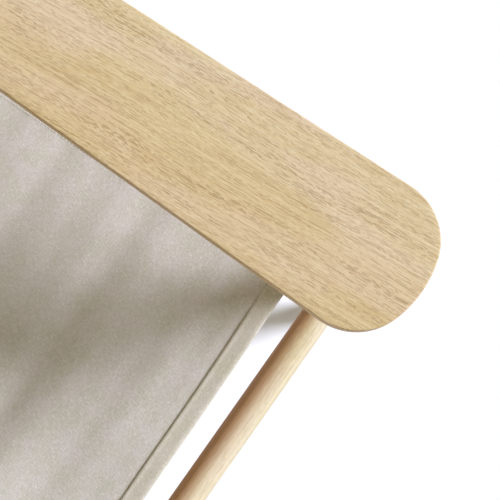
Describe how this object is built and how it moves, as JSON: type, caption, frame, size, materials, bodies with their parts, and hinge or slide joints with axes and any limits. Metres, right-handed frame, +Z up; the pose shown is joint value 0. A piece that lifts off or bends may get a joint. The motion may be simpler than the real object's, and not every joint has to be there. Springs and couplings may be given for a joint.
{
  "type": "low armchair",
  "caption": "Low open-framed armchair of round wooden rails with broad flat armrests and a canvas sling seat and back.",
  "frame": {"origin": "on the floor, under the middle of the chair's bounding box", "axes": "+Z up, -Y towards the front of the seat, +X towards the sitter's left"},
  "size_m": [0.735, 0.7535, 0.7129],
  "materials": {
    "oak": "soaped pale oak, matt",
    "canvas": "natural cotton canvas, plain weave",
    "hard_plastic": "moulded nylon",
    "felt": "pressed wool felt"
  },
  "bodies": {
    "root": {"left_armrest": "oak", "right_armrest": "oak", "left_front_leg": "oak", "right_front_leg": "oak", "left_rear_leg": "oak", "right_rear_leg": "oak", "left_side_rail": "oak", "right_side_rail": "oak", "front_rail": "oak", "rear_rail": "oak", "rear_seat_rail": "oak", "left_back_post": "oak", "right_back_post": "oak", "top_rail": "oak", "left_back_peg": "oak", "right_back_peg": "oak", "seat_canvas": "canvas", "back_canvas": "canvas", "glide_bodies": "hard_plastic", "glide_felts": "felt"}
  },
  "joints": []
}
